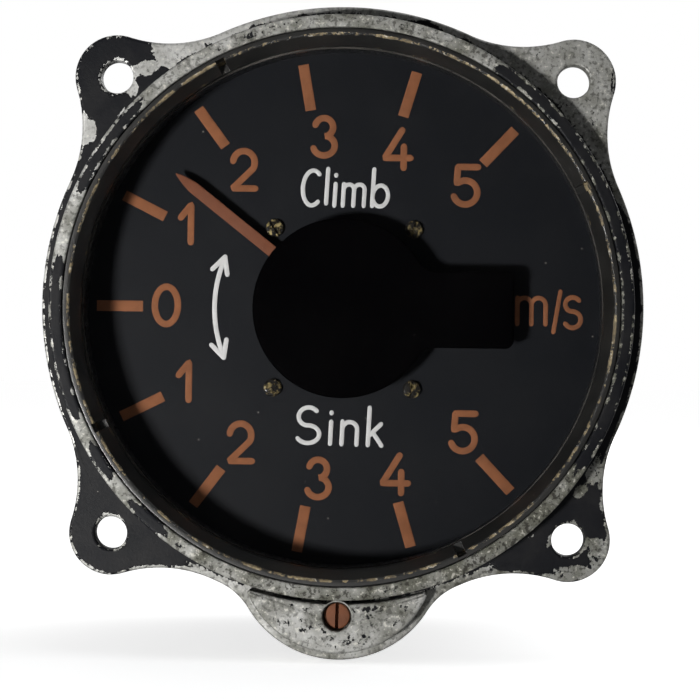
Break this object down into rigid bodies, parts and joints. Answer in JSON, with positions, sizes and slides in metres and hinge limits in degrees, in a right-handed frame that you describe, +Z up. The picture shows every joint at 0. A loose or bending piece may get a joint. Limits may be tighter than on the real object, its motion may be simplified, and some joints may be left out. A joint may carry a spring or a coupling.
{
  "type": "vertical speed indicator",
  "caption": "Round panel vertical speed indicator with pointer, geared capsule movement, front zero adjuster and two rear pipe unions.",
  "frame": {"origin": "centre of the four mounting holes, in the flange's front face, on the pointer axis", "axes": "the dial faces -Y, +X is to the right seen from the front, +Z is up"},
  "size_m": [0.083, 0.087, 0.09],
  "materials": {
    "case_paint": "satin black enamel over cast aluminium, chipped to bare metal",
    "ring_metal": "black enamel over brass, worn to brass on its inner edge",
    "clear_glass": "clear flat glass",
    "seal": "dull black packing",
    "dial_paint": "matt charcoal dial paint with aged tan marks",
    "dial_fasteners": "dull aged brass",
    "pointer_paint": "matt aged orange-tan paint",
    "plate_brass": "drawn and turned brass",
    "bright_steel": "turned steel",
    "capsule_bronze": "thin corrugated bronze sheet",
    "adjuster_metal": "brown oxidised brass",
    "union_metal": "turned, slightly dull",
    "pipe_copper": "bent copper pipe",
    "capillary_glass": "fine-bore glass tube"
  },
  "bodies": {
    "case": {"case_body": "case_paint", "rear_cover": "case_paint", "rear_gasket": "seal", "rear_cover_screws": "bright_steel", "retaining_ring": "ring_metal", "glass": "clear_glass", "glass_gasket": "seal", "spacer_ring": "case_paint", "dial": "dial_paint", "dial_posts": "plate_brass", "dial_screws": "dial_fasteners", "pointer_cover": "case_paint", "cover_posts": "plate_brass", "front_plate": "plate_brass", "front_plate_screws": "bright_steel", "back_plate": "plate_brass", "pillars": "plate_brass", "pillar_screws": "bright_steel", "front_spindle_bush": "plate_brass", "back_spindle_bush": "plate_brass", "front_sector_bush": "plate_brass", "back_sector_bush": "plate_brass", "sector_stop_pins": "bright_steel", "hairspring": "bright_steel", "hairspring_stud": "plate_brass", "rocking_shaft_brackets": "plate_brass", "carrier_hinge_posts": "plate_brass", "carrier_hinge_pin": "bright_steel", "static_union": "union_metal", "flask_union": "union_metal", "union_washers": "seal", "union_nuts": "union_metal", "inner_pipe": "pipe_copper", "capillary_tube": "capillary_glass", "adjuster_packing": "seal"},
    "sector": {"sector_gear": "plate_brass", "sector_arbor": "bright_steel", "sector_hub_collar": "plate_brass"},
    "pointer": {"pointer": "pointer_paint", "pointer_boss": "plate_brass", "pointer_spindle": "bright_steel", "spindle_pinion": "bright_steel", "hairspring_collet": "plate_brass"},
    "rocker": {"rocking_shaft": "bright_steel", "rocker_fork_arm": "plate_brass", "rocker_link_arm": "plate_brass", "link_pin": "bright_steel"},
    "link": {"link": "plate_brass"},
    "capsule_centre": {"capsule_stud": "plate_brass"},
    "carrier": {"capsule_carrier": "plate_brass", "capsule_front_half": "capsule_bronze", "capsule_rear_half": "capsule_bronze", "capsule_base": "plate_brass", "capsule_base_nut": "plate_brass"},
    "zero_shaft": {"zero_gear": "plate_brass", "zero_shaft": "bright_steel"},
    "adjuster": {"zero_adjuster": "adjuster_metal", "adjuster_pinion": "bright_steel"}
  },
  "joints": [
    {"name": "sector_swing", "type": "hinge", "parent": "case", "child": "sector", "pos_m": [0.01915, 0.01875, 0.01], "axis": [0, 1, 0], "range_deg": [-12.47, 22.02], "stiffness_Nm_per_rad": 0.01},
    {"name": "pointer_turn", "type": "hinge", "parent": "case", "child": "pointer", "pos_m": [0, 0.0046, 0], "axis": [0, 1, 0], "range_deg": [-176.22, 99.82]},
    {"name": "rocking_shaft_turn", "type": "hinge", "parent": "case", "child": "rocker", "pos_m": [0, 0.033, 0.01], "axis": [1, 0, 0], "range_deg": [-5.27, 9.29]},
    {"name": "link_hinge", "type": "hinge", "parent": "rocker", "child": "link", "pos_m": [0, 0.03265, 0.00001], "axis": [1, 0, 0], "range_deg": [-9.29, 5.27]},
    {"name": "zero_shaft_turn", "type": "hinge", "parent": "case", "child": "zero_shaft", "pos_m": [0, 0.009, -0.0327], "axis": [0, 1, 0], "range_deg": [-180, 180]},
    {"name": "adjuster_turn", "type": "hinge", "parent": "case", "child": "adjuster", "pos_m": [0, 0, -0.0423], "axis": [0, 1, 0], "range_deg": [-540.1, 540.1]},
    {"name": "carrier_tilt", "type": "hinge", "parent": "case", "child": "carrier", "pos_m": [0, 0.054, 0.03], "axis": [1, 0, 0], "range_deg": [-0.46, 0.46]},
    {"name": "capsule_centre_slide", "type": "slide", "parent": "carrier", "child": "capsule_centre", "axis": [0, 1, 0], "range_m": [-0.00093, 0.00163]}
  ],
  "couplings": [
    {"joint": "pointer_turn", "follows": "sector_swing", "ratio": -8},
    {"joint": "rocking_shaft_turn", "follows": "sector_swing", "ratio": 0.42105},
    {"joint": "link_hinge", "follows": "sector_swing", "ratio": -0.42105},
    {"joint": "capsule_centre_slide", "follows": "sector_swing", "m_per_rad": 0.0042093},
    {"joint": "adjuster_turn", "follows": "zero_shaft_turn", "ratio": -3},
    {"joint": "carrier_tilt", "follows": "zero_shaft_turn", "ratio": 0.0025384}
  ]
}
